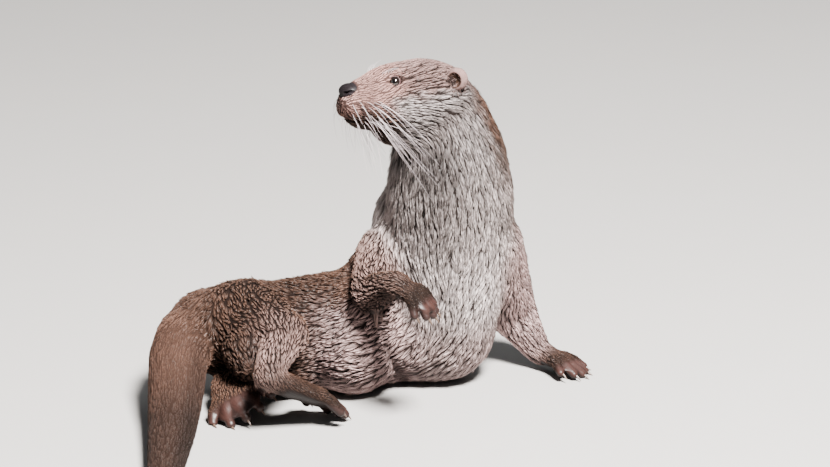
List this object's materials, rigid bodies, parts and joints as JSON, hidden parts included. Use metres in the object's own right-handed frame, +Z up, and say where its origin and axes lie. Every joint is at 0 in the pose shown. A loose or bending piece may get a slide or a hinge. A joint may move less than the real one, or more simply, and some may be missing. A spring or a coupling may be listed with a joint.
{
  "type": "river otter",
  "caption": "Still, life-size Eurasian river otter lying on its hip with its chest raised on one foreleg, the other forepaw lifted and its head turned.",
  "frame": {"origin": "on the floor, under the middle of the animal's bounding box", "axes": "+Z up, -Y the way the chest faces and the tail runs, -X the way the nose points"},
  "size_m": [0.4468, 0.4834, 0.3521],
  "materials": {
    "brown_fur": "wet clumped dark brown coat with paler tips",
    "silver_fur": "wet clumped silver-cream throat and chest coat",
    "paw_skin": "bare damp toes, webs and pads with short fur above",
    "nose_skin": "pebbled damp nose pad",
    "eye": "glossy wet eye"
  },
  "bodies": {
    "root": {"head": "brown_fur", "eye_left": "eye", "eye_right": "eye", "ear_left": "brown_fur", "ear_right": "brown_fur", "nose": "nose_skin", "neck": "silver_fur", "chest": "silver_fur", "belly": "brown_fur", "hips": "brown_fur", "tail_base": "brown_fur", "tail_middle": "brown_fur", "tail_tip": "brown_fur", "upper_arm_right": "brown_fur", "forearm_right": "brown_fur", "forepaw_right": "paw_skin", "upper_arm_left": "brown_fur", "forearm_left": "brown_fur", "forepaw_left": "paw_skin", "thigh_right": "brown_fur", "shank_right": "brown_fur", "hindfoot_right": "paw_skin", "thigh_left": "brown_fur", "shank_left": "brown_fur", "hindfoot_left": "paw_skin"}
  },
  "joints": []
}
